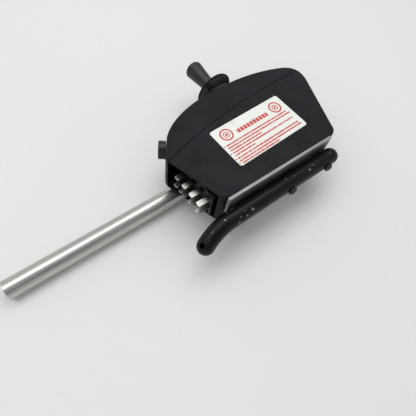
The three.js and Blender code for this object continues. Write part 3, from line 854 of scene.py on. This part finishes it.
def build_screws(black, plain):
    for name in ARM_SCREWS:
        low, high = span(name)
        head, length = (high.x - low.x) / 2, high.y - low.y
        dome = [(0, 0), (2.8, 0, 0.8), (4.6, 1.0, 1.4), (head, 2.6, 0.4), (head, 3.2, 0.2), (3, 3.2),
                (3, length), (0, length)]
        build_screw(name, black, dome, 2.2, (-1, 2), 0.12)
    for name in RAIL_SCREWS:
        low, high = span(name)
        head, length = (high.x - low.x) / 2, high.y - low.y
        pan = [(0, 0), (3.2, 0, 0.4), (head, 1.6, 0.4), (head, 2.4, 0.2), (2, 2.4), (2, length), (0, length)]
        build_screw(name, plain, pan, 1.7, (-1, 1.4), 0.1)
    for name in CLAMP_SCREWS:
        low, high = span(name)
        length = high.y - low.y
        grub = [(0, 0), (2.2, 0, 0.2), (3, 1), (3, length, 0.3), (0, length)]
        build_screw(name, black, grub, 1.7, (length - 3, length + 1), 0.1)
    for name in ("tie_screw_1", "tie_screw_2"):
        low, high = span(name)
        length = high.y - low.y
        flat = [(0, 0), (3.9, 0, 0.3), (3.9, 1.4, 0.2), (2, 1.5), (2, length, 0.3), (0, length)]
        build_screw(name, plain, flat, 1.7, (-1, 0.9), 0.1)


def build_rail(look):
    low, high = span("side_rail")
    inner, outer, foot = -48.6, -54.0, low.z
    tube_low, tube_high = span("mount_tube")
    tube = (tube_low + tube_high) / 2
    corners = [(33.8, -3.3, 0.5), (33.8, -6.3, 0.8), (-foot, -6.3, 1.2), (-foot, 8, 1.2),
               (-outer, 8, 1.5), (-outer, 45.5, 1.5), (-foot, 45.5, 1.2), (-foot, 80, 1.5),
               (-inner, 80, 1.5), (-inner, -3.3, 1)]
    body = prism(rounded(corners, closed=True), low.x, high.x, ALONG_X)
    bore_radius = (tube_high.y - tube_low.y) / 2 + TUBE_CLEARANCE
    bore = rod(bore_radius, low.x - 5, high.x + 5, place((0, tube.y, tube.z), Vector((1, 0, 0))), 96)
    holes = [upright(SCREW_HOLE, -10, 0, spot.x, spot.z) for spot in map(centre_of, RAIL_SCREWS)]
    threads = [upright(WIDE_SCREW_HOLE, tube.y, 85, spot.x, spot.z) for spot in map(centre_of, CLAMP_SCREWS)]
    finish_piece(cut(body, bore, *holes, *threads), "side_rail", look, 0.3)


def build_tube(look):
    low, high = span("mount_tube")
    radius = (high.y - low.y) / 2
    inside = radius - TUBE_WALL
    middle = (low + high) / 2
    spot = place((0, middle.y, middle.z), Vector((1, 0, 0)))
    profile = rounded([(radius, low.x, 0.3), (radius, high.x, 0.3), (inside, high.x, 0.3),
                       (inside, low.x, 0.3)], closed=True, steps=3)
    finish_piece(turned(profile, spot, 128), "mount_tube", look, 0)


# ---------------------------------------------------------------- scene

ROOM_LIGHT = 0.7
ROOM_SHADE = 0.3
KEY_TOWARD = (0.0, 0.24, 0.97)
KEY_DISTANCE = 1.35
KEY_SIZE = (1.9, 0.8)
KEY_POWER = 9.4


def make_looks():
    # Pale patches on the arm in housing millimetres, with radii: chipped paint, except the one at (-11,
    # -12.5, -12.6) on the top of the bend, which is a painted highlight.
    scuffs_and_highlight = [((20, -18, -13.5), 7), ((12, -20, -15.5), 5), ((5, -18, -13.5), 5), ((1, -21.5, -18), 5),
              ((-28, -15, -17), 5), ((-11, -12.5, -12.6), 4), ((46, -8, -13), 2.5), ((72, -10.5, -12), 3),
              ((82, -13.5, -12), 4), ((103, -16, -12.6), 4.5), ((110.5, -14, -12), 3), ((138, -13.5, -12), 3),
              ((143, -20, -15), 3)]
    points = [(at(*spot), radius * MM) for spot, radius in scuffs_and_highlight]
    return {
        "housing_plastic": moulded("housing_plastic", (0.004, 0.005, 0.0068), 0.5, sheen=0.19),
        "control_plastic": moulded("control_plastic", (0.0045, 0.0048, 0.0055), 0.34, sheen=0.45,
                                   height=0.00001, dust=0.06),
        "rubber": rubber("rubber"),
        "arm_paint": painted_arm(points),
        "aluminium": drawn_metal("aluminium", (0.62, 0.615, 0.575), 0.26, stain=0.3),
        "plate": drawn_metal("plate", (0.36, 0.36, 0.34), 0.42, stretch=(20, 500, 500)),
        "tinned_brass": blade_metal(),
        "fastener_steel": plated("fastener_steel", (0.5, 0.5, 0.5), 0.3, (0.3, 0.3, 0.3)),
        "black_fastener": plated("black_fastener", (0.012, 0.012, 0.013), 0.35, (0.03, 0.03, 0.03), 0.3),
        "label_paper": printed_label(LABEL_TURN),
        "board_green": circuit_board(),
        "component": moulded("component", (0.012, 0.012, 0.014), 0.42),
        "ribbon": ribbed_cable(),
        "lens": smoked_lens(),
    }


def build_object(looks):
    build_housing(looks["housing_plastic"])
    build_plate(looks["plate"])
    build_connector(looks["control_plastic"], looks["tinned_brass"])
    build_label(looks["label_paper"])
    build_stick(looks["control_plastic"], looks["rubber"])
    build_dial(looks["control_plastic"])
    build_buttons(looks["control_plastic"], looks["rubber"], looks["lens"])
    build_arm(looks["arm_paint"])
    build_screws(looks["black_fastener"], looks["fastener_steel"])
    build_rail(looks["aluminium"])
    build_tube(looks["aluminium"])
    for name, node in frame["nodes"].items():
        node.data.materials.clear()
        node.data.materials.append(looks[SLOT_OF[name]])


def make_floor():
    size = 4.0
    height = CAD_BOX[0].z - 0.0002
    corners = [(x * size, y * size, height) for x, y in ((-1, -1), (1, -1), (1, 1), (-1, 1))]
    mesh = bpy.data.meshes.new("floor")
    mesh.from_pydata(corners, [], [(0, 1, 2, 3)])
    floor = bpy.data.objects.new("floor", mesh)
    bpy.context.scene.collection.objects.link(floor)
    look = Look("floor", Specular_IOR_Level=0.2)
    cloud = noise(look.tree, look.where, 2.0, 2)
    look.link("Base Color", mix(look.tree, cloud, (0.82, 0.82, 0.79), (0.86, 0.86, 0.82)))
    look.shader.inputs["Roughness"].default_value = 0.7
    mesh.materials.append(look.material)


def make_light(name, toward, distance, size, power, colour):
    """A soft rectangular light, seen from the object in a direction."""
    data = bpy.data.lights.new(name, "AREA")
    data.shape = "RECTANGLE"
    data.size, data.size_y = size
    data.energy = power
    data.color = colour
    lamp = bpy.data.objects.new(name, data)
    direction = Vector(toward).normalized()
    lamp.location = direction * distance
    lamp.rotation_mode = "QUATERNION"
    lamp.rotation_quaternion = (-direction).to_track_quat("-Z", "Y")
    bpy.context.scene.collection.objects.link(lamp)


def make_lights():
    """A soft ceiling light in a pale room that is darker on the viewer's side."""
    world = bpy.data.worlds.new("studio")
    bpy.context.scene.world = world
    world.use_nodes = True
    tree = world.node_tree
    background = tree.nodes["Background"]
    toward = wire(tree, "TexCoord").outputs["Generated"]
    dark_side = (0.0, -0.74, 0.67)
    facing = wire(tree, "VectorMath", {0: toward, 1: dark_side}, operation="DOT_PRODUCT").outputs["Value"]
    background.inputs["Color"].default_value = (0.92, 0.96, 1.0, 1)
    tree.links.new(ramp(tree, facing, 0.72, 0.97, ROOM_LIGHT, ROOM_SHADE), background.inputs["Strength"])
    make_light("ceiling", KEY_TOWARD, KEY_DISTANCE, KEY_SIZE, KEY_POWER, (1, 0.995, 0.98))
    bpy.context.scene.view_settings.view_transform = "Standard"


def make_camera():
    """The viewpoint: its place in the housing frame, where it looks and which way is up."""
    look = Vector((0.3643, 0.3211, -0.8742)).normalized()
    up = Vector((0.4854, 0.7356, 0.4724))
    right = look.cross(up).normalized()
    up = right.cross(look)
    data = bpy.data.cameras.new("camera")
    data.lens = 29.84
    data.sensor_width = 36.0
    data.clip_start = 0.01
    camera = bpy.data.objects.new("camera", data)
    axes = Matrix((right, up, -look)).transposed()
    camera.matrix_world = Matrix.Translation(at(-138.6, -100.22, 278.81)) @ axes.to_4x4()
    bpy.context.scene.collection.objects.link(camera)
    bpy.context.scene.camera = camera


make_camera()
make_lights()
make_floor()
build_object(make_looks())

bpy.context.view_layer.update()
